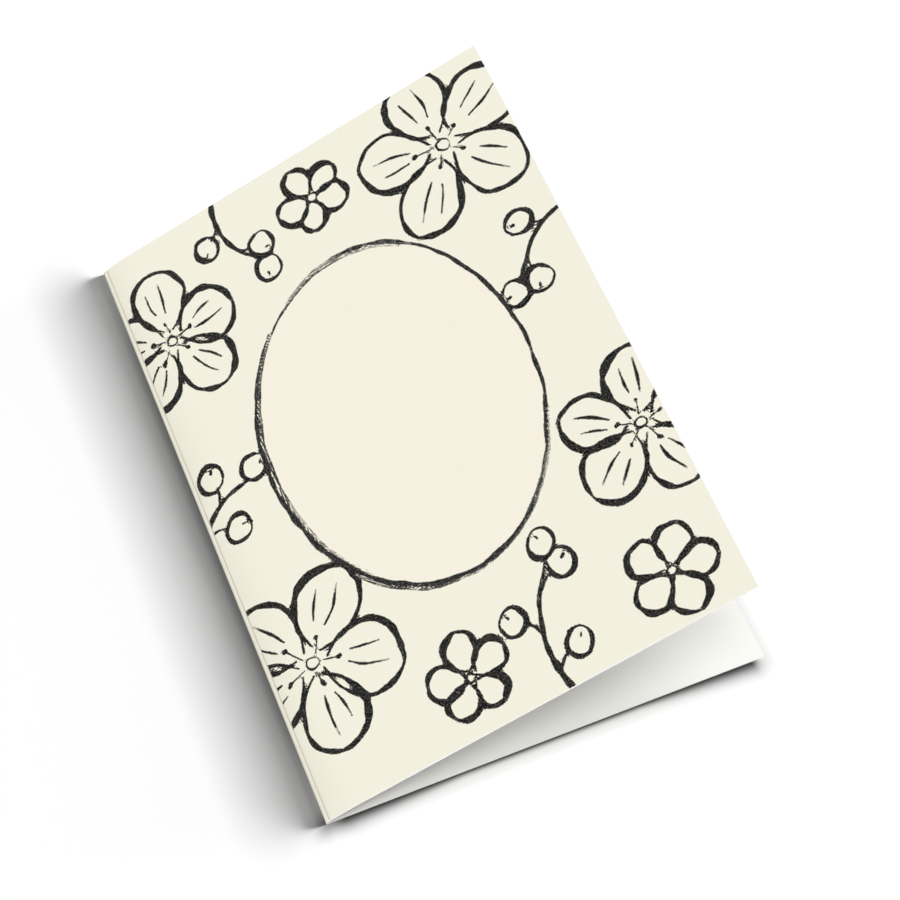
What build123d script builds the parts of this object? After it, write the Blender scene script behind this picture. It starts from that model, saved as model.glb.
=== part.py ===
from build123d import *
import os
from math import radians

# Folded greeting card: one sheet of board, scored down its middle and folded once.
# It lies on its back panel, and the spring of the fold holds the front panel open.
# X runs from the fold to the free edges, Y runs along the fold, and Z is up.

# Sheet: A5 when closed, cut square from uncoated board
closed_width = 148.0
card_height = 210.0
board = 0.5

# Opening: the front panel leaves the fold steeply, bends back a little and then runs straight
open_angle = 25.0
spring_angle = 12.0
spring_length = 12.0

# Score: a band pressed into the outside, with a groove at each border and a bead inside
inner_bend_radius = 0.3
score_width = 4.0
groove_width = 0.6
groove_depth = 0.12
bead_radius = 0.25

# Bend of the fold, measured on the outside face
outer_bend_radius = inner_bend_radius + board
lift_angle = open_angle + spring_angle
bend_angle = 180 - lift_angle
bend_start_x = outer_bend_radius - closed_width / 2
bend_centre = (bend_start_x, outer_bend_radius)

# Front panel: as long as the back panel, with the part of the bend that opening unrolls
unrolled_length = (inner_bend_radius + board / 2) * radians(lift_angle)
front_length = closed_width - outer_bend_radius + unrolled_length
spring_radius = spring_length / radians(spring_angle)

# Borders of the score, as far from the fold's nose on both panels
border_offset = score_width / 2 - outer_bend_radius * radians(bend_angle) / 2
groove_radius = (groove_width**2 / 4 + groove_depth**2) / (2 * groove_depth)
groove_rise = groove_radius - groove_depth

with BuildPart() as folded_card:
    with BuildSketch(Plane.XZ):
        # Outside face from the back panel's free edge round the fold to the front's
        with BuildLine():
            back_face = Line((closed_width / 2, 0), (bend_start_x, 0))
            bend = JernArc(back_face @ 1, back_face % 1, outer_bend_radius, -bend_angle)
            spring = JernArc(bend @ 1, bend % 1, spring_radius, -spring_angle)
            PolarLine(spring @ 1, front_length - spring_length, open_angle)
            offset(amount=board, side=Side.RIGHT)
        make_face()

        # Bead: the board that the score displaces, as a ridge along the inside of the bend
        with Locations(bend_centre):
            with PolarLocations(inner_bend_radius, 1, start_angle=180 + lift_angle / 2):
                Circle(bead_radius)

        # Grooves: the two borders of the score, in the outside of each panel
        border_on_front = spring.location_at(border_offset / spring_length)
        front_normal = (spring % (border_offset / spring_length)).rotate(Axis.Z, 90)
        with Locations((bend_start_x + border_offset, -groove_rise)):
            Circle(groove_radius, mode=Mode.SUBTRACT)
        with Locations(border_on_front.position + front_normal * groove_rise):
            Circle(groove_radius, mode=Mode.SUBTRACT)

    # Panels, from the card's foot to its head
    extrude(amount=card_height / 2, both=True)

folded_card.part.label = "folded_card"

os.makedirs("parts", exist_ok=True)
export_step(folded_card.part, "parts/folded_card.step")
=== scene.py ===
import math
import random
import bpy
from mathutils import Matrix, Vector


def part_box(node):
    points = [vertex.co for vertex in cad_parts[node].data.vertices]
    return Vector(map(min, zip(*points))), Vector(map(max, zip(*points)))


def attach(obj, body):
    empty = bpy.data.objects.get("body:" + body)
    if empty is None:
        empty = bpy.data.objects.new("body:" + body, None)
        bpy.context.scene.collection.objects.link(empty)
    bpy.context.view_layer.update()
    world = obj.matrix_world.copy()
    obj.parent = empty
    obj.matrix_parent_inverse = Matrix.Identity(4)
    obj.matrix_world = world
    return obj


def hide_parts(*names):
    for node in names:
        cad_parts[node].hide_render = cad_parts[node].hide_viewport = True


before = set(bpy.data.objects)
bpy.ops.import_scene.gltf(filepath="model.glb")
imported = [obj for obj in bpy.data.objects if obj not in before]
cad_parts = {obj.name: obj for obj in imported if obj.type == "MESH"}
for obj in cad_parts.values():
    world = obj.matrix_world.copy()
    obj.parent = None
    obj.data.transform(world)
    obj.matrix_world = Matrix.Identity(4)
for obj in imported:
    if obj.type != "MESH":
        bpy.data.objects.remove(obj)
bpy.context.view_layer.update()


# Board
# The card is one sheet of stiff uncoated board, 0.5 mm thick and cut square on a guillotine.
# It is scored down its middle and folded once. It lies on its back panel, and the spring of
# the fold holds the front panel open.
MM = 0.001
card_low, card_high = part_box("folded_card")
closed_width = card_high.x - card_low.x
card_height = card_high.y - card_low.y
board = 0.5 * MM
open_angle = math.radians(25)
spring_angle = math.radians(12)
spring_length = 12 * MM
inner_bend_radius = 0.3 * MM
score_width = 4.0 * MM
groove_width = 0.6 * MM
groove_depth = 0.12 * MM
bead_radius = 0.25 * MM

bend_radius = inner_bend_radius + board
bend_angle = math.pi - open_angle - spring_angle
half_bend = bend_radius * bend_angle / 2
unrolled_length = (inner_bend_radius + board / 2) * (open_angle + spring_angle)
back_length = closed_width - bend_radius + half_bend
front_length = closed_width - bend_radius + unrolled_length + half_bend
front_middle = -front_length / 2

OUTSIDE, INSIDE, CUT_EDGE = 0, 1, 2


def cuts(start, end, step):
    """Places from start towards end, without the end, evenly spaced and no further apart than step."""
    count = max(1, math.ceil((end - start) / step - 1e-6))
    return [start + (end - start) * i / count for i in range(count)]


def flat_blank(panel_grid, score_grid, back_grid):
    """The sheet before it is folded. The score is at x = 0, the front panel at -x, the back panel at +x
    and the outside below. The outside of the front panel has the finest grid, because it takes the print."""
    zone = 0.6 * score_width
    columns = cuts(-front_length, -zone, panel_grid) + cuts(-zone, zone, score_grid)
    columns += cuts(zone, back_length, back_grid) + [back_length]
    rows = cuts(-card_height / 2, card_height / 2, panel_grid) + [card_height / 2]
    wide, tall = len(columns), len(rows)
    places = [(x, y, 0) for x in columns for y in rows]
    places += [(x, y, board) for x in columns for y in (rows[0], rows[-1])]
    faces = []
    sides = []
    for i in range(wide - 1):
        left = i * tall
        right = left + tall
        foot = wide * tall + 2 * i
        for j in range(tall - 1):
            faces.append((left + j, left + j + 1, right + j + 1, right + j))
            sides.append(OUTSIDE)
        faces.append((foot, foot + 2, foot + 3, foot + 1))
        faces.append((left, right, foot + 2, foot))
        faces.append((right + tall - 1, left + tall - 1, foot + 1, foot + 3))
        sides += [INSIDE, CUT_EDGE, CUT_EDGE]
    first = wide * tall
    last = first - tall
    faces.append((*range(tall - 1, -1, -1), first, first + 1))
    faces.append((*range(last, first), first + 2 * wide - 1, first + 2 * wide - 2))
    sides += [CUT_EDGE, CUT_EDGE]
    mesh = bpy.data.meshes.new("card_blank")
    mesh.from_pydata(places, [], faces)
    side = mesh.attributes.new("side", "INT", "FACE")
    side.data.foreach_set("value", sides)
    return mesh


def section_line():
    """The outside face from the back panel's free edge, round the fold, to the front panel's free edge."""
    x, z, heading = card_high.x, card_low.z, math.pi
    points = [(x, z)]
    stretches = (
        (closed_width - bend_radius, 0, 1),
        (2 * half_bend, bend_angle, 60),
        (spring_length, spring_angle, 24),
        (front_length - half_bend - spring_length, 0, 1),
    )
    for length, turn, steps in stretches:
        half_turn = turn / steps / 2
        chord = length / steps
        if turn:
            chord *= math.sin(half_turn) / half_turn
        for _ in range(steps):
            heading -= half_turn
            x += chord * math.cos(heading)
            z += chord * math.sin(heading)
            heading -= half_turn
            points.append((x, z))
    curve = bpy.data.curves.new("section_line", "CURVE")
    curve.dimensions = "3D"
    spline = curve.splines.new("POLY")
    spline.points.add(len(points) - 1)
    for point, (x, z) in zip(spline.points, points):
        point.co = (x, 0, z, 1)
    return bpy.data.objects.new("section_line", curve)


def add(tree, kind, settings=None, **links):
    """Adds a node and returns its first output. A setting is a property of the node. A link goes into the
    input of that name, or of that number after an underscore, and is an output or a plain value."""
    node = tree.nodes.new(kind)
    for name, value in (settings or {}).items():
        setattr(node, name, value)
    for name, value in links.items():
        if name[1:].isdigit():
            socket = node.inputs[int(name[1:])]
        else:
            socket = next(s for s in node.inputs if s.enabled and s.name == name.replace("_", " "))
        if isinstance(value, bpy.types.NodeSocket):
            tree.links.new(value, socket)
        else:
            socket.default_value = value
    return next((s for s in node.outputs if s.enabled), None)


def new_tree(name, **inputs):
    """An empty Geometry Nodes tree with these inputs, each of them given as its kind of socket."""
    tree = bpy.data.node_groups.new(name, "GeometryNodeTree")
    tree.interface.new_socket("Geometry", in_out="OUTPUT", socket_type="NodeSocketGeometry")
    for label, kind in inputs.items():
        tree.interface.new_socket(label.replace("_", " "), in_out="INPUT", socket_type="NodeSocket" + kind)
    return tree, add(tree, "NodeGroupInput").node.outputs


def fold_tree(print_tree, materials):
    """Prints the flat sheet, carries it round the section line and presses the score into it."""
    tree, given = new_tree(
        "score_and_fold",
        Sheet="Geometry",
        Section_line="Object",
        Brush_strokes="Object",
        Back_length="Float",
        Board="Float",
        Groove_border="Float",
        Groove_width="Float",
        Groove_depth="Float",
        Bead_radius="Float",
        Bead_reach="Float",
    )
    multiply_add = {"operation": "MULTIPLY_ADD"}
    multiply = {"operation": "MULTIPLY"}
    subtract = {"operation": "SUBTRACT"}
    maximum = {"operation": "MAXIMUM"}
    root = {"operation": "SQRT"}

    printed = add(
        tree,
        "GeometryNodeGroup",
        {"node_tree": print_tree},
        Sheet=given["Sheet"],
        Brush_strokes=given["Brush strokes"],
    )
    flat = add(tree, "ShaderNodeSeparateXYZ", Vector=add(tree, "GeometryNodeInputPosition")).node.outputs
    line = add(tree, "GeometryNodeObjectInfo", Object=given["Section line"]).node.outputs["Geometry"]
    run = add(tree, "ShaderNodeMath", subtract, _0=given["Back length"], _1=flat["X"])
    sampling = {"mode": "LENGTH", "use_all_curves": True}
    spot = add(tree, "GeometryNodeSampleCurve", sampling, Curves=line, Length=run).node.outputs
    inwards = add(
        tree, "ShaderNodeVectorMath", {"operation": "CROSS_PRODUCT"}, _0=(0, 1, 0), _1=spot["Tangent"]
    )

    # Grooves at the score's borders, as arcs pressed into the outside
    depth_squared = add(tree, "ShaderNodeMath", multiply, _0=given["Groove depth"], _1=given["Groove depth"])
    half = add(tree, "ShaderNodeMath", multiply, _0=given["Groove width"], _1=0.5)
    squares = add(tree, "ShaderNodeMath", multiply_add, _0=half, _1=half, _2=depth_squared)
    doubled = add(tree, "ShaderNodeMath", multiply, _0=given["Groove depth"], _1=2.0)
    radius = add(tree, "ShaderNodeMath", {"operation": "DIVIDE"}, _0=squares, _1=doubled)
    rise = add(tree, "ShaderNodeMath", subtract, _0=radius, _1=given["Groove depth"])
    from_nose = add(tree, "ShaderNodeMath", {"operation": "ABSOLUTE"}, _0=flat["X"])
    beside = add(tree, "ShaderNodeMath", subtract, _0=from_nose, _1=given["Groove border"])
    radius_squared = add(tree, "ShaderNodeMath", multiply, _0=radius, _1=radius)
    beside_squared = add(tree, "ShaderNodeMath", multiply, _0=beside, _1=beside)
    left_over = add(tree, "ShaderNodeMath", subtract, _0=radius_squared, _1=beside_squared)
    arc = add(tree, "ShaderNodeMath", root, _0=add(tree, "ShaderNodeMath", maximum, _0=left_over, _1=0.0))
    dip = add(tree, "ShaderNodeMath", subtract, _0=arc, _1=rise)
    dip = add(tree, "ShaderNodeMath", maximum, _0=dip, _1=0.0)

    # Bead along the inside of the bend, of the board that the score displaces
    near = add(tree, "ShaderNodeMath", multiply, _0=flat["X"], _1=given["Bead reach"])
    near_squared = add(tree, "ShaderNodeMath", multiply, _0=near, _1=near)
    bead_squared = add(tree, "ShaderNodeMath", multiply, _0=given["Bead radius"], _1=given["Bead radius"])
    left_over = add(tree, "ShaderNodeMath", subtract, _0=bead_squared, _1=near_squared)
    bead = add(tree, "ShaderNodeMath", root, _0=add(tree, "ShaderNodeMath", maximum, _0=left_over, _1=0.0))

    share = add(tree, "ShaderNodeMath", {"operation": "DIVIDE"}, _0=flat["Z"], _1=given["Board"])
    pressed = add(tree, "ShaderNodeMix", {"data_type": "FLOAT"}, Factor=share, A=dip, B=bead)
    depth = add(tree, "ShaderNodeMath", _0=flat["Z"], _1=pressed)
    lift = add(tree, "ShaderNodeVectorMath", {"operation": "SCALE"}, _0=inwards, Scale=depth)
    along_fold = add(tree, "ShaderNodeCombineXYZ", Y=flat["Y"])
    place = add(tree, "ShaderNodeVectorMath", _0=spot["Position"], _1=lift)
    place = add(tree, "ShaderNodeVectorMath", _0=place, _1=along_fold)
    sheet = add(tree, "GeometryNodeSetPosition", Geometry=printed, Position=place)
    sheet = add(tree, "GeometryNodeRealizeInstances", Geometry=sheet)
    side = add(tree, "GeometryNodeInputNamedAttribute", {"data_type": "INT"}, Name="side")
    equal = {"data_type": "INT", "operation": "EQUAL"}
    for number, material in enumerate(materials):
        chosen = add(tree, "FunctionNodeCompare", equal, A=side, B=number)
        sheet = add(tree, "GeometryNodeSetMaterial", Geometry=sheet, Selection=chosen, Material=material)
    add(tree, "NodeGroupOutput", _0=sheet)
    return tree


# Print
# The front panel is printed in one pass of offset: a cream ground, a plain oval field of a warmer
# cream, and brushwork in charcoal. Round the field stand outlined blossoms and berry sprigs.
hand = random.Random(23)
tremble = 0.15


def drawn(stroke, at, turn, size=1.0):
    """Puts a stroke at its place on the front panel, with a little of the hand's tremble in every point.
    A point is x towards the free edge, y towards the head, half the brush's width and its dryness, in mm."""
    c, s = math.cos(math.radians(turn)), math.sin(math.radians(turn))
    placed = []
    for x, y, half, dry in stroke:
        x = x * size + hand.gauss(0, tremble)
        y = y * size + hand.gauss(0, tremble)
        placed.append((at[0] + x * c - y * s, at[1] + x * s + y * c, half, dry))
    return placed


def loop(radius, start, sweep, half, dry):
    """An open ring: the brush starts fine, presses down and leaves the paper past its start."""
    steps = 9
    points = []
    for i in range(steps):
        share = i / (steps - 1)
        angle = math.radians(start + sweep * share)
        reach = radius * (1 + 0.06 * math.cos(2 * angle) + 0.05 * share)
        press = 0.45 + 0.55 * math.sin(math.pi * min(1, 0.12 + share))
        points.append((reach * math.cos(angle), reach * math.sin(angle), half * press, dry + 0.4 * share**3))
    return points


def petal(length, width):
    """One side with a full brush, the other with a lighter one, and two dry veins."""
    near = ((0.17, 0.09, 0.45, 0.2), (0.32, 0.36, 0.85, 0.1), (0.62, 0.52, 1.2, 0.0), (0.85, 0.42, 1.3, 0.0))
    near += ((0.98, 0.2, 1.1, 0.1), (1.02, 0.0, 0.7, 0.3), (1.01, -0.1, 0.4, 0.6))
    far = ((0.15, -0.07, 0.4, 0.3), (0.34, -0.34, 0.65, 0.15), (0.64, -0.5, 0.9, 0.1))
    far += ((0.86, -0.4, 0.95, 0.1), (0.98, -0.2, 0.8, 0.2))
    far += ((1.03, -0.02, 0.5, 0.45), (1.03, 0.08, 0.35, 0.7))
    inner_vein = ((0.42, 0.13, 0.3, 0.3), (0.56, 0.19, 0.5, 0.3), (0.74, 0.23, 0.3, 0.8))
    outer_vein = ((0.4, -0.05, 0.35, 0.2), (0.6, -0.07, 0.55, 0.25), (0.84, -0.04, 0.3, 0.75))
    strokes = (near, far, inner_vein, outer_vein)
    return [[(x * length, y * width, half, dry) for x, y, half, dry in stroke] for stroke in strokes]


petals = 5
petal_length = 30
petal_width = 22


def blossom(at, turn, size, open_wide=True):
    """Petals round an eye. Only a blossom that is open wide shows its veins and stamens."""
    strokes = []
    for number in range(petals):
        lean = turn + 360 / petals * number + hand.uniform(-6, 6)
        outline = petal(petal_length * hand.uniform(0.93, 1.07), petal_width * hand.uniform(0.9, 1.08))
        strokes += [drawn(stroke, at, lean, size) for stroke in outline[: 4 if open_wide else 2]]
        if open_wide:
            reach = hand.uniform(6.5, 9.5)
            strokes.append(drawn([(3.6, 0, 0.3, 0.1), (reach, 0.3, 0.28, 0.1)], at, lean + 5, size))
            anther = [(reach + 0.5, 0.2, 0.8, 0.0), (reach + 1.0, 0.4, 0.75, 0.0)]
            strokes.append(drawn(anther, at, lean + 5, size))
    strokes.append(drawn(loop(2.1, turn, 380, 0.5, 0.1), at, 0, max(size, 0.75)))
    return strokes


first_stalk = 10
stalk_spacing = 12
berry_radius = 4.4


def sprig(at, turn, bend, berries):
    """A curved stem with berries on short stalks, on either side by turns, and one at its tip. A dot near
    each berry's end is what the flower has left there."""
    length = stalk_spacing * berries + first_stalk
    strokes = []
    stem = []
    for t in (0, 0.25, 0.5, 0.75, 1):
        stem.append((length * t, bend * math.sin(math.pi * t), 1.15 - 0.5 * t, 0.1 + 0.3 * t))
    strokes.append(drawn(stem, at, turn))
    for number in range(berries + 1):
        t = (stalk_spacing * number + first_stalk) / length
        side = 1 if number % 2 else -1
        x, y = length * t, bend * math.sin(math.pi * t)
        out = hand.uniform(9.5, 12)
        middle = (x + 0.75 * out, y + side * 0.8 * out)
        if number < berries:
            stalk = [(x, y, 0.5, 0.1), (x + 0.4 * out, y + side * 0.2 * out, 0.5, 0.2)]
            stalk.append((x + 0.6 * out, y + side * 0.45 * out, 0.4, 0.3))
            strokes.append(drawn(stalk, at, turn))
        else:
            middle = (x + 4.5, y + 0.5)
        ring = loop(berry_radius, hand.uniform(0, 360), 375, 0.95, 0.05)
        ring = [(middle[0] + px, middle[1] + py, half, dry) for px, py, half, dry in ring]
        tip = [(1.6, 0.9 * side, 0.5, 0.0), (2.2, 1.3 * side, 0.5, 0.0)]
        tip = [(middle[0] + px, middle[1] + py, half, dry) for px, py, half, dry in tip]
        strokes += [drawn(ring, at, turn), drawn(tip, at, turn)]
    return strokes


field_centre = (0, 3)
field_half_width = 47
field_half_height = 60


def field_outline(start, sweep, inset, half, dry):
    """One pass of the brush along the oval's edge. It drifts off the edge and back, and it runs dry."""
    steps = 15
    points = []
    for i in range(steps):
        share = i / (steps - 1)
        angle = math.radians(start + sweep * share)
        drift = inset + 0.3 * math.sin(3 * angle + start)
        fade = min(1, 5 * share, 5 * (1 - share))
        x = field_centre[0] + (field_half_width - drift) * math.cos(angle)
        y = field_centre[1] + (field_half_height - drift) * math.sin(angle)
        points.append((x, y, half * (0.35 + 0.65 * fade), dry + 0.3 * share**2 + 0.4 * (1 - fade)))
    return points


behind_field = [
    *blossom((50, 78), 20, 1.0),
    *blossom((-58, -58), 50, 1.02),
    *blossom((-60, 67), 10, 0.84),
    *blossom((66, -42), 75, 0.84),
    *blossom((3, 87), 40, 0.42, False),
    *blossom((-14, -87), 15, 0.46, False),
    *blossom((54, -88), 62, 0.5, False),
    *sprig((-28, 110), -78, -6, 2),
    *sprig((14, -110), 80, 7, 3),
    *sprig((82, 38), 212, -5, 2),
    *sprig((-80, -14), 40, 6, 2),
]
round_field = [
    field_outline(128, 205, 0.0, 0.9, 0.1),
    field_outline(296, 178, 0.5, 0.7, 0.25),
    field_outline(60, 170, 1.5, 0.45, 0.5),
    field_outline(205, 130, -1.1, 0.4, 0.6),
]


def brush_strokes():
    """The strokes' points on the flat blank, joined in order, with what the brush does at each of them."""
    places = []
    edges = []
    halves = []
    dryness = []
    tones = []
    for tone, strokes in enumerate((behind_field, round_field)):
        for stroke in strokes:
            edges += [(len(places) + i, len(places) + i + 1) for i in range(len(stroke) - 1)]
            for x, y, half, dry in stroke:
                places.append((front_middle - x * MM, y * MM, 0))
                halves.append(half)
                dryness.append(dry)
                tones.append(tone)
    mesh = bpy.data.meshes.new("brush_strokes")
    mesh.from_pydata(places, edges, [])
    for name, values in (("half_width", halves), ("dryness", dryness), ("tone", tones)):
        attribute = mesh.attributes.new(name, "FLOAT", "POINT")
        attribute.data.foreach_set("value", values)
    return bpy.data.objects.new("brush_strokes", mesh)


def brush_tree():
    """Notes on every point of the sheet where the nearest dab of the brush is, how wide it is and how dry.
    The material draws the ink's edge from that, finer than the sheet's grid."""
    tree, given = new_tree("brush_print", Sheet="Geometry", Brush_strokes="Object")
    multiply = {"operation": "MULTIPLY"}
    subtract = {"operation": "SUBTRACT"}
    length = {"operation": "LENGTH"}
    vector = {"data_type": "FLOAT_VECTOR"}
    position = add(tree, "GeometryNodeInputPosition")

    # The brush's path, in dabs 0.25 mm apart, with a slight tremor and an uneven pressure
    lines = add(tree, "GeometryNodeObjectInfo", Object=given["Brush strokes"]).node.outputs["Geometry"]
    lines = add(tree, "GeometryNodeMeshToCurve", Mesh=lines)
    lines = add(tree, "GeometryNodeCurveSplineType", {"spline_type": "CATMULL_ROM"}, Curve=lines)
    lines = add(tree, "GeometryNodeSetSplineResolution", Geometry=lines, Resolution=16)
    lines = add(tree, "GeometryNodeResampleCurve", {"mode": "LENGTH"}, Curve=lines, Length=0.25 * MM)
    run = add(tree, "GeometryNodeSplineParameter").node.outputs["Length"]
    run = add(tree, "ShaderNodeMath", multiply, _0=run, _1=1 / MM)
    lines = add(tree, "GeometryNodeStoreNamedAttribute", Geometry=lines, Name="run", Value=run)
    dabs = add(tree, "GeometryNodeCurveToPoints", {"mode": "EVALUATED"}, Curve=lines)
    tremor = add(tree, "ShaderNodeTexNoise", Vector=position, Scale=1 / (10 * MM), Detail=0.5)
    tremor = add(tree, "ShaderNodeVectorMath", subtract, _0=tremor.node.outputs["Color"], _1=(0.5, 0.5, 0.5))
    tremor = add(tree, "ShaderNodeVectorMath", multiply, _0=tremor, _1=(1.5 * MM, 1.5 * MM, 0))
    dabs = add(tree, "GeometryNodeSetPosition", Geometry=dabs, Offset=tremor)
    width = add(tree, "GeometryNodeInputNamedAttribute", {"data_type": "FLOAT"}, Name="half_width")
    press = add(tree, "ShaderNodeTexNoise", Vector=position, Scale=1 / (5 * MM), Detail=0.0)
    uneven = {"From_Min": 0.3, "From_Max": 0.7, "To_Min": 0.68, "To_Max": 1.18}
    press = add(tree, "ShaderNodeMapRange", Value=press, **uneven)
    width = add(tree, "ShaderNodeMath", multiply, _0=width, _1=press)
    dabs = add(tree, "GeometryNodeStoreNamedAttribute", Geometry=dabs, Name="half_width", Value=width)

    # The oval field covers what runs under it, so its own outline alone stays inside
    centre = (front_middle - field_centre[0] * MM, field_centre[1] * MM, 0)
    stretch = (1 / (field_half_width * MM), 1 / (field_half_height * MM), 0)
    from_centre = add(tree, "ShaderNodeVectorMath", subtract, _0=position, _1=centre)
    from_centre = add(tree, "ShaderNodeVectorMath", multiply, _0=from_centre, _1=stretch)
    from_centre = add(tree, "ShaderNodeVectorMath", length, _0=from_centre).node.outputs["Value"]
    tone = add(tree, "GeometryNodeInputNamedAttribute", {"data_type": "FLOAT"}, Name="tone")
    reach = add(tree, "ShaderNodeMath", _0=from_centre, _1=tone)
    covered = add(tree, "FunctionNodeCompare", {"operation": "LESS_THAN"}, A=reach, B=1.0)
    dabs = add(tree, "GeometryNodeDeleteGeometry", {"domain": "POINT"}, Geometry=dabs, Selection=covered)

    # A wider dab is lifted less, so that the nearest one is the one whose edge is nearest
    widest = 3.0
    width = add(tree, "GeometryNodeInputNamedAttribute", {"data_type": "FLOAT"}, Name="half_width")
    square = add(tree, "ShaderNodeMath", multiply, _0=width, _1=width)
    square = add(tree, "ShaderNodeMath", subtract, _0=widest**2, _1=square)
    lift = add(tree, "ShaderNodeMath", {"operation": "SQRT"}, _0=square)
    lift = add(tree, "ShaderNodeMath", multiply, _0=lift, _1=MM)
    lift = add(tree, "ShaderNodeCombineXYZ", Z=lift)
    lifted = add(tree, "GeometryNodeSetPosition", Geometry=dabs, Offset=lift)
    point = {"domain": "POINT"}
    nearest = add(tree, "GeometryNodeSampleNearest", point, Geometry=lifted, Sample_Position=position)
    spot = add(tree, "GeometryNodeSampleIndex", vector, Geometry=dabs, Value=position, Index=nearest)
    away = add(tree, "ShaderNodeVectorMath", subtract, _0=spot, _1=position)
    away = add(tree, "ShaderNodeVectorMath", multiply, _0=away, _1=(1 / MM, 1 / MM, 0))
    notes = {}
    for name in ("half_width", "dryness", "tone", "run"):
        value = add(tree, "GeometryNodeInputNamedAttribute", {"data_type": "FLOAT"}, Name=name)
        notes[name] = add(tree, "GeometryNodeSampleIndex", Geometry=dabs, Value=value, Index=nearest)
    gap = add(tree, "ShaderNodeVectorMath", length, _0=away).node.outputs["Value"]
    gap = add(tree, "ShaderNodeMath", subtract, _0=gap, _1=notes["half_width"])
    away = add(tree, "ShaderNodeSeparateXYZ", Vector=away).node.outputs
    dab = add(tree, "ShaderNodeCombineXYZ", X=away["X"], Y=away["Y"], Z=notes["half_width"])
    brush = add(tree, "ShaderNodeCombineXYZ", X=gap, Y=notes["run"], Z=notes["dryness"])
    flat = add(tree, "ShaderNodeVectorMath", multiply, _0=position, _1=(1 / MM, 1 / MM, 0))
    inside = add(tree, "ShaderNodeMath", subtract, _0=from_centre, _1=1.0)
    inside = add(tree, "ShaderNodeMath", multiply, _0=inside, _1=field_half_width)
    sheet = given["Sheet"]
    for name, value in (("dab", dab), ("brush", brush), ("flat_place", flat)):
        sheet = add(tree, "GeometryNodeStoreNamedAttribute", vector, Geometry=sheet, Name=name, Value=value)
    for name, value in (("ink_tone", notes["tone"]), ("field_edge", inside)):
        sheet = add(tree, "GeometryNodeStoreNamedAttribute", Geometry=sheet, Name=name, Value=value)
    add(tree, "NodeGroupOutput", _0=sheet)
    return tree


cream = "#f4f1e0"
field_cream = "#f7f1e1"
charcoal = "#050507"
field_charcoal = "#19191c"
# The colour of the painted shade along the score's grooves
groove_shade_cream = "#d6d3c4"
white_board = "#f4f4f0"
board_core = "#fbfbf9"
core_layers = ("#f2f2ef", "#fdfdfb")


def colour(hex_code):
    """An sRGB hex colour as the linear values that a shader takes."""
    parts = [int(hex_code[i : i + 2], 16) / 255 for i in (1, 3, 5)]
    return (*(c / 12.92 if c <= 0.04045 else ((c + 0.055) / 1.055) ** 2.4 for c in parts), 1)


def new_material(name, code, rough):
    material = bpy.data.materials.new(name)
    material.use_nodes = True
    shader = material.node_tree.nodes["Principled BSDF"]
    shader.inputs["Base Color"].default_value = colour(code)
    shader.inputs["Roughness"].default_value = rough
    shader.inputs["Specular IOR Level"].default_value = 0.1
    return material


def board_stock(name, code):
    """Uncoated board: quite matt, with a faint tooth of pressed fibres, 0.4 mm from crest to crest."""
    material = new_material(name, code, 0.9)
    tree = material.node_tree
    flat = add(tree, "ShaderNodeAttribute", {"attribute_name": "flat_place"}).node.outputs["Vector"]
    fibres = add(tree, "ShaderNodeTexNoise", Vector=flat, Scale=1 / 0.4, Detail=3.0, Roughness=0.6)
    relief = add(tree, "ShaderNodeBump", Height=fibres, Strength=0.2, Distance=0.02 * MM)
    tree.links.new(relief, tree.nodes["Principled BSDF"].inputs["Normal"])
    return material


def guillotined_edge():
    """The cut shows the board's core, the whitest part, with its layers as fine lines along the edge."""
    material = board_stock("guillotined_board_core", board_core)
    tree = material.node_tree
    flat = add(tree, "ShaderNodeAttribute", {"attribute_name": "flat_place"}).node.outputs["Vector"]
    layered = add(tree, "ShaderNodeVectorMath", {"operation": "MULTIPLY"}, _0=flat, _1=(0.4, 0.4, 9.0))
    layers = add(tree, "ShaderNodeTexNoise", Vector=layered, Scale=1.0, Detail=2.0)
    layers = add(tree, "ShaderNodeMapRange", Value=layers, From_Min=0.35, From_Max=0.65)
    colours = {"data_type": "RGBA"}
    grey, white = (colour(code) for code in core_layers)
    core = add(tree, "ShaderNodeMix", colours, Factor=layers, A=grey, B=white)
    tree.links.new(core, tree.nodes["Principled BSDF"].inputs["Base Color"])
    return material


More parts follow.
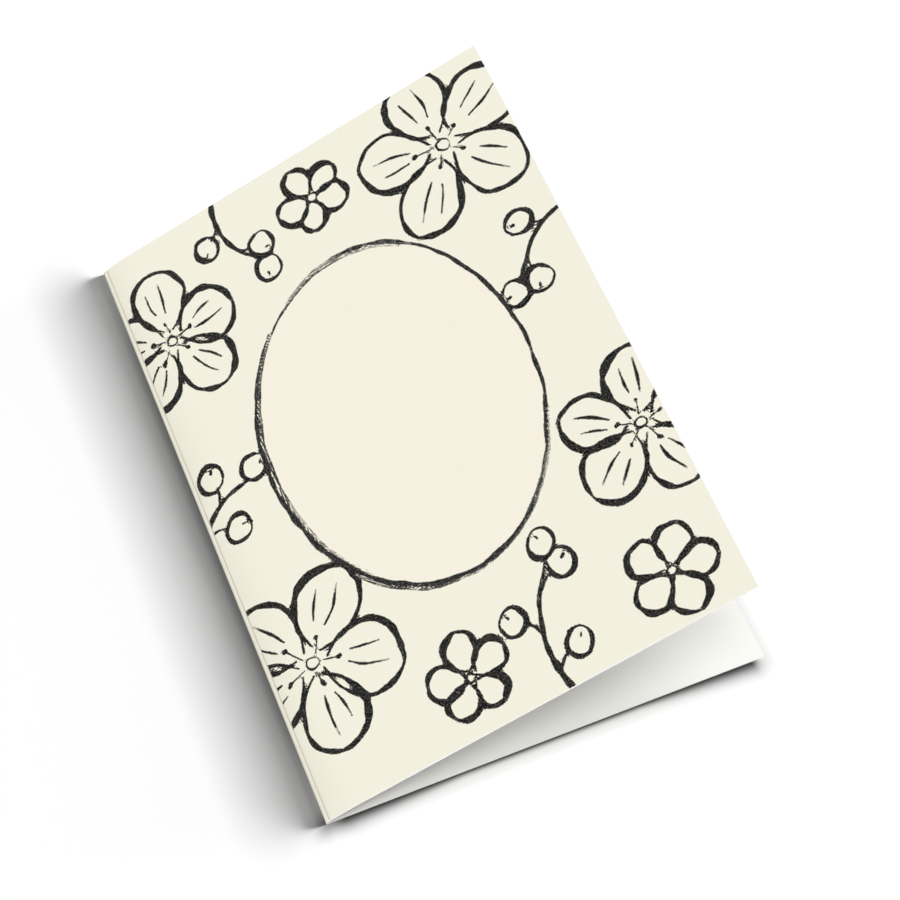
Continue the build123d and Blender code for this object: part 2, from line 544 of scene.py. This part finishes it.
def printed_board():
    """Uncoated board, offset printed. The ink sinks in, so it stays matt, and the board's tooth breaks up
    its edges and lets the ground through where the brush was dry."""
    material = board_stock("offset_printed_uncoated_board", cream)
    tree = material.node_tree
    shader = tree.nodes["Principled BSDF"]
    multiply = {"operation": "MULTIPLY"}
    colours = {"data_type": "RGBA"}
    flat = add(tree, "ShaderNodeAttribute", {"attribute_name": "flat_place"}).node.outputs["Vector"]
    dab = add(tree, "ShaderNodeAttribute", {"attribute_name": "dab"}).node.outputs["Vector"]
    brush = add(tree, "ShaderNodeAttribute", {"attribute_name": "brush"}).node.outputs["Vector"]
    tone = add(tree, "ShaderNodeAttribute", {"attribute_name": "ink_tone"}).node.outputs["Fac"]
    field = add(tree, "ShaderNodeAttribute", {"attribute_name": "field_edge"}).node.outputs["Fac"]
    half = add(tree, "ShaderNodeSeparateXYZ", Vector=dab).node.outputs["Z"]
    brush = add(tree, "ShaderNodeSeparateXYZ", Vector=brush).node.outputs
    across = add(tree, "ShaderNodeVectorMath", multiply, _0=dab, _1=(1, 1, 0))
    across = add(tree, "ShaderNodeVectorMath", {"operation": "LENGTH"}, _0=across).node.outputs["Value"]

    # Edge of the stroke, roughened by the board's tooth, about 0.5 mm from crest to crest
    tooth = add(tree, "ShaderNodeTexNoise", Vector=flat, Scale=1 / 0.5, Detail=2.0, Roughness=0.6)
    ragged = {"From_Min": 0.3, "From_Max": 0.7, "To_Min": -0.17, "To_Max": 0.17}
    ragged = add(tree, "ShaderNodeMapRange", Value=tooth, **ragged)
    edge = add(tree, "ShaderNodeMath", {"operation": "SUBTRACT"}, _0=across, _1=half)
    edge = add(tree, "ShaderNodeMath", _0=edge, _1=ragged)
    ink = add(tree, "ShaderNodeMapRange", Value=edge, From_Min=0.08, From_Max=-0.08)

    # Streaks of a drying brush, long along the stroke and a hair's width across it
    run = add(tree, "ShaderNodeMath", multiply, _0=brush["Y"], _1=0.35)
    hairs = add(tree, "ShaderNodeMath", multiply, _0=across, _1=2.6)
    strand = add(tree, "ShaderNodeCombineXYZ", X=run, Y=hairs, Z=half)
    streak = add(tree, "ShaderNodeTexNoise", Vector=strand, Scale=1.0, Detail=2.0)
    grain = add(tree, "ShaderNodeTexNoise", Vector=flat, Scale=1 / 0.3, Detail=1.0)
    held = add(tree, "ShaderNodeMath", _0=streak, _1=grain)
    least = add(tree, "ShaderNodeMapRange", Value=brush["Z"], To_Min=0.5, To_Max=1.06)
    held = add(tree, "ShaderNodeMath", {"operation": "SUBTRACT"}, _0=held, _1=least)
    held = add(tree, "ShaderNodeMapRange", Value=held, From_Min=-0.05, From_Max=0.08)
    ink = add(tree, "ShaderNodeMath", multiply, _0=ink, _1=held)

    # Only where a stroke really is near, and only as far as the score's border
    close = add(tree, "ShaderNodeMapRange", Value=brush["X"], From_Min=0.36, From_Max=0.26)
    ink = add(tree, "ShaderNodeMath", multiply, _0=ink, _1=close)
    groove = score_width / 2 / MM
    from_score = add(tree, "ShaderNodeSeparateXYZ", Vector=flat).node.outputs["X"]
    trimmed = add(tree, "ShaderNodeMapRange", Value=from_score, From_Min=-groove, From_Max=-groove - 0.1)
    ink = add(tree, "ShaderNodeMath", multiply, _0=ink, _1=trimmed)

    covered = add(tree, "ShaderNodeMapRange", Value=field, From_Min=0.1, From_Max=-0.1)
    ground = add(tree, "ShaderNodeMix", colours, Factor=covered, A=colour(cream), B=colour(field_cream))
    pigment = add(tree, "ShaderNodeMix", colours, Factor=tone, A=colour(charcoal), B=colour(field_charcoal))
    specks = {"From_Min": 0.575, "From_Max": 0.69, "To_Min": 1.0, "To_Max": 0.7}
    specks = add(tree, "ShaderNodeMapRange", Value=grain, **specks)
    ink = add(tree, "ShaderNodeMath", multiply, _0=ink, _1=specks)
    printed = add(tree, "ShaderNodeMix", colours, Factor=ink, A=ground, B=pigment)

    # A painted shade: a slightly darker line along each groove, where the score's hollow would lie in shade
    flat = add(tree, "ShaderNodeSeparateXYZ", Vector=flat).node.outputs
    from_nose = add(tree, "ShaderNodeMath", {"operation": "ABSOLUTE"}, _0=flat["X"])
    from_groove = add(tree, "ShaderNodeMath", {"operation": "SUBTRACT"}, _0=from_nose, _1=groove)
    from_groove = add(tree, "ShaderNodeMath", {"operation": "ABSOLUTE"}, _0=from_groove)
    clear_of_groove_shade = add(tree, "ShaderNodeMapRange", Value=from_groove, From_Min=0.12, From_Max=0.42)
    printed = add(tree, "ShaderNodeMix", colours, Factor=clear_of_groove_shade, A=colour(groove_shade_cream), B=printed)

    # A painted highlight: a white rim in the board core's colour along the cut edges, which widens the
    # bright line of the lit cut
    from_end = add(tree, "ShaderNodeMath", _0=flat["X"], _1=front_length / MM)
    from_side = add(tree, "ShaderNodeMath", {"operation": "ABSOLUTE"}, _0=flat["Y"])
    from_side = add(tree, "ShaderNodeMath", {"operation": "SUBTRACT"}, _0=card_height / 2 / MM, _1=from_side)
    from_cut = add(tree, "ShaderNodeMath", {"operation": "MINIMUM"}, _0=from_end, _1=from_side)
    from_cut = add(tree, "ShaderNodeMath", _0=from_cut, _1=ragged)
    clear_of_rim_highlight = add(tree, "ShaderNodeMapRange", Value=from_cut, From_Min=0.14, From_Max=0.26)
    printed = add(tree, "ShaderNodeMix", colours, Factor=clear_of_rim_highlight, A=colour(board_core), B=printed)
    tree.links.new(printed, shader.inputs["Base Color"])
    return material


blank_mesh = flat_blank(panel_grid=0.66 * MM, score_grid=0.12 * MM, back_grid=40 * MM)
blank = bpy.data.objects.new("card_sheet", blank_mesh)
section = section_line()
strokes = brush_strokes()
for item in (blank, section, strokes):
    bpy.context.scene.collection.objects.link(item)
fold = blank.modifiers.new("score_and_fold", "NODES")
materials = (printed_board(), board_stock("uncoated_white_board", white_board), guillotined_edge())
fold.node_group = fold_tree(brush_tree(), materials)
sizes = {
    "Section line": section,
    "Brush strokes": strokes,
    "Back length": back_length,
    "Board": board,
    "Groove border": score_width / 2,
    "Groove width": groove_width,
    "Groove depth": groove_depth,
    "Bead radius": bead_radius,
    "Bead reach": inner_bend_radius / bend_radius,
}
for item in fold.node_group.interface.items_tree:
    if item.in_out == "INPUT" and item.name in sizes:
        fold[item.identifier] = sizes[item.name]
bpy.context.view_layer.update()
evaluated = blank.evaluated_get(bpy.context.evaluated_depsgraph_get())
folded = bpy.data.meshes.new_from_object(evaluated)
blank.modifiers.clear()
blank.data = folded
bpy.data.objects.remove(section)
bpy.data.objects.remove(strokes)
card = blank
for polygon in folded.polygons:
    polygon.use_smooth = True
folded.set_sharp_from_angle(angle=math.radians(50))
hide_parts("folded_card")
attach(card, "root")


# Table
# A level table top in a studio, painted matt white, with a contact shadow painted into its colour round the
# card.
# It is large enough to fill the picture, and it keeps the card's shadow.
def shade(tree, way):
    """A painted shadow's strength: full where this way from the card is nought. It fades as 1/e to the
    square of the way's length.
    """
    squared = add(tree, "ShaderNodeVectorMath", {"operation": "DOT_PRODUCT"}, _0=way, _1=way)
    squared = squared.node.outputs["Value"]
    return add(tree, "ShaderNodeMath", {"operation": "POWER"}, _0=1 / math.e, _1=squared)


def white_table_top():
    """Matt white paint, with a contact shadow painted round the back panel and most at the foot, which so
    thin a board would lose between large soft lamps."""
    material = new_material("white_paint_with_painted_shadow", "#ffffff", 1.0)
    tree = material.node_tree
    multiply = {"operation": "MULTIPLY"}
    multiply_add = {"operation": "MULTIPLY_ADD"}
    subtract = {"operation": "SUBTRACT"}
    divide = {"operation": "DIVIDE"}
    absolute = {"operation": "ABSOLUTE"}
    place = add(tree, "ShaderNodeTexCoord").node.outputs["Object"]
    sides = add(tree, "ShaderNodeSeparateXYZ", Vector=place).node.outputs
    from_middle = add(tree, "ShaderNodeVectorMath", absolute, _0=place)
    from_middle = add(tree, "ShaderNodeSeparateXYZ", Vector=from_middle).node.outputs

    # A soft painted shadow all round the panel, moved a little towards the fold and the foot. It draws back
    # from the two ends of the fold, where light comes round the corners.
    soft_reach = 5.5 * MM
    drawn_back = 6 * MM
    to_fold = 1.0 * MM
    to_foot = 1.5 * MM
    ends = add(tree, "ShaderNodeMath", divide, _0=from_middle["Y"], _1=card_high.y)
    ends = add(tree, "ShaderNodeMath", {"operation": "POWER"}, _0=ends, _1=4.0)
    back = add(tree, "ShaderNodeMapRange", Value=sides["X"], From_Max=card_low.x, To_Max=-drawn_back)
    back = add(tree, "ShaderNodeMath", multiply_add, _0=back, _1=ends, _2=to_fold)
    back = add(tree, "ShaderNodeCombineXYZ", X=back, Y=to_foot)
    shifted = add(tree, "ShaderNodeVectorMath", _0=place, _1=back)
    shifted = add(tree, "ShaderNodeVectorMath", absolute, _0=shifted)
    panel = (card_high.x - 2.4 * MM, card_high.y - 1.5 * MM, 0)
    beside = add(tree, "ShaderNodeVectorMath", subtract, _0=shifted, _1=panel)
    beside = add(tree, "ShaderNodeVectorMath", {"operation": "MAXIMUM"}, _0=beside, _1=(0, 0, 0))
    beside = add(tree, "ShaderNodeVectorMath", {"operation": "SCALE"}, _0=beside, Scale=1 / soft_reach)

    # A darker painted shadow line along the foot's edge. It reaches further out towards both of its ends,
    # and it turns a little outwards past the fold.
    turned_out = 1.2 * MM
    far_off = 50 * MM
    fold_end = card_low.x + 1 * MM
    free_end = card_high.x - 5 * MM
    past_fold = {"From_Min": fold_end, "From_Max": fold_end - far_off, "To_Max": far_off / (5 * MM)}
    past_fold = add(tree, "ShaderNodeMapRange", Value=sides["X"], **past_fold)
    past_free = {"From_Min": free_end, "From_Max": free_end + far_off, "To_Max": far_off / (2.4 * MM)}
    past_free = add(tree, "ShaderNodeMapRange", Value=sides["X"], **past_free)
    past_end = add(tree, "ShaderNodeMath", _0=past_fold, _1=past_free)
    off_foot = add(tree, "ShaderNodeMath", multiply_add, _0=past_fold, _1=turned_out, _2=sides["Y"])
    off_foot = add(tree, "ShaderNodeMath", _0=off_foot, _1=card_high.y)
    corners = {"From_Min": 30 * MM, "From_Max": card_high.x, "To_Min": 1.3 * MM, "To_Max": 3.8 * MM}
    reach = add(tree, "ShaderNodeMapRange", Value=from_middle["X"], **corners)
    off_foot = add(tree, "ShaderNodeMath", divide, _0=off_foot, _1=reach)
    foot_line = add(tree, "ShaderNodeCombineXYZ", X=past_end, Y=off_foot)

    # A fine painted shadow line under the fold's round nose, which fades out towards both of its ends
    nose_reach = 1.5 * MM
    off_fold = add(tree, "ShaderNodeMath", subtract, _0=sides["X"], _1=card_low.x)
    off_fold = add(tree, "ShaderNodeMath", divide, _0=off_fold, _1=nose_reach)
    fold_ends = {"From_Min": 60 * MM, "From_Max": 160 * MM, "To_Max": 4.0}
    past_end = add(tree, "ShaderNodeMapRange", Value=from_middle["Y"], **fold_ends)
    nose_line = add(tree, "ShaderNodeCombineXYZ", X=off_fold, Y=past_end)

    # The white paint, darkened by the three painted shadows
    paint = 1.0
    for way, depth in ((beside, 0.33), (foot_line, 0.63), (nose_line, 0.22)):
        dark = add(tree, "ShaderNodeMath", multiply, _0=shade(tree, way), _1=depth)
        paint = add(tree, "ShaderNodeMath", subtract, _0=paint, _1=dark)
    tree.links.new(paint, tree.nodes["Principled BSDF"].inputs["Base Color"])
    return material


table_half = 4.0
corners = [(-table_half, -table_half, 0), (table_half, -table_half, 0)]
corners += [(table_half, table_half, 0), (-table_half, table_half, 0)]
table_mesh = bpy.data.meshes.new("table_top")
table_mesh.from_pydata(corners, [], [(0, 1, 2, 3)])
table_mesh.materials.append(white_table_top())
table = bpy.data.objects.new("table_top", table_mesh)
bpy.context.scene.collection.objects.link(table)


# Studio light
# Three large soft lamps light the card at a plain level, in a dim white room, and a faint low one shines
# into the gap from the foot. The table has lamps of its own, and the two low ones throw the card's
# shadow past the fold.
world = bpy.data.worlds.new("studio")
bpy.context.scene.world = world
world.use_nodes = True
studio = world.node_tree
rays = add(studio, "ShaderNodeLightPath").node.outputs
seen = rays["Is Camera Ray"]
for kind in ("Is Glossy Ray", "Is Transmission Ray"):
    seen = add(studio, "ShaderNodeMath", {"operation": "MAXIMUM"}, _0=seen, _1=rays[kind])
strength = add(studio, "ShaderNodeMapRange", Value=seen, To_Min=0.08, To_Max=1.0)
background = studio.nodes["Background"]
background.inputs["Color"].default_value = (1, 1, 1, 1)
studio.links.new(strength, background.inputs["Strength"])


strip_distance = 100


def lamp(name, azimuth, elevation, level, spread, lit, sweep=0):
    """A far soft lamp that gives a level surface this share of its written colour. It lights only the
    piece in lit. Azimuth 0 is over +x and 90 over +y. Spread is the angle that the lamp fills. One with
    a sweep is a strip, which fills that angle from side to side and its spread from top to bottom."""
    turn, rise = math.radians(azimuth), math.radians(elevation)
    towards = Vector((math.cos(turn) * math.cos(rise), math.sin(turn) * math.cos(rise), math.sin(rise)))
    data = bpy.data.lights.new(name, "AREA" if sweep else "SUN")
    holder = bpy.data.objects.new(name, data)
    if sweep:
        data.shape = "RECTANGLE"
        data.size = 2 * strip_distance * math.tan(math.radians(sweep / 2))
        data.size_y = 2 * strip_distance * math.tan(math.radians(spread / 2))
        data.energy = level * (math.pi * strip_distance) ** 2 / math.sin(rise)
        holder.location = towards * strip_distance
    else:
        data.angle = math.radians(spread)
        data.energy = level * math.pi / math.sin(rise)
    holder.rotation_euler = towards.to_track_quat("Z", "Y").to_euler()
    bpy.context.scene.collection.objects.link(holder)
    group = bpy.data.collections.new(name)
    group.objects.link(lit)
    holder.light_linking.receiver_collection = group


lamp("low_strip_light", -1, 23.5, 0.615, 3.3, table, sweep=12)
lamp("tall_low_lamp", -2, 22, 0.2, 25, table, sweep=12)
lamp("high_table_lamp", 180, 60, 0.145, 60, table)
lamp("foot_softbox", 232, 75, 0.338, 20, card)
lamp("foot_strip_light", 262, 10, 0.06, 15, card)
lamp("head_softbox", 90, 55, 0.278, 60, card)
lamp("right_softbox", 5, 68, 0.288, 40, card)


# Camera
# It looks down on the card from beyond the fold and a little from the foot.
view_azimuth = math.radians(-27.64)
view_elevation = math.radians(61.60)
view_roll = math.radians(5.62)
view_distance = 712.2 * MM
view_target = Vector((10.03 * MM, -0.57 * MM, 0))
focal_pixels = 2162.3
image_pixels = 900

level = math.cos(view_elevation)
back = Vector((math.sin(view_azimuth) * level, -math.cos(view_azimuth) * level, math.sin(view_elevation)))
right = (-back).cross(Vector((0, 0, 1))).normalized()
up = right.cross(-back).normalized()
rolled_right = right * math.cos(view_roll) + up * math.sin(view_roll)
rolled_up = up * math.cos(view_roll) - right * math.sin(view_roll)
camera_data = bpy.data.cameras.new("camera")
camera_data.sensor_width = 36
camera_data.lens = 36 * focal_pixels / image_pixels
camera_data.clip_start = 0.01
camera = bpy.data.objects.new("camera", camera_data)
turned = Matrix((rolled_right, rolled_up, back)).transposed().to_4x4()
camera.matrix_world = Matrix.Translation(view_target + back * view_distance) @ turned
bpy.context.scene.collection.objects.link(camera)
bpy.context.scene.camera = camera
bpy.context.scene.view_settings.view_transform = "Standard"
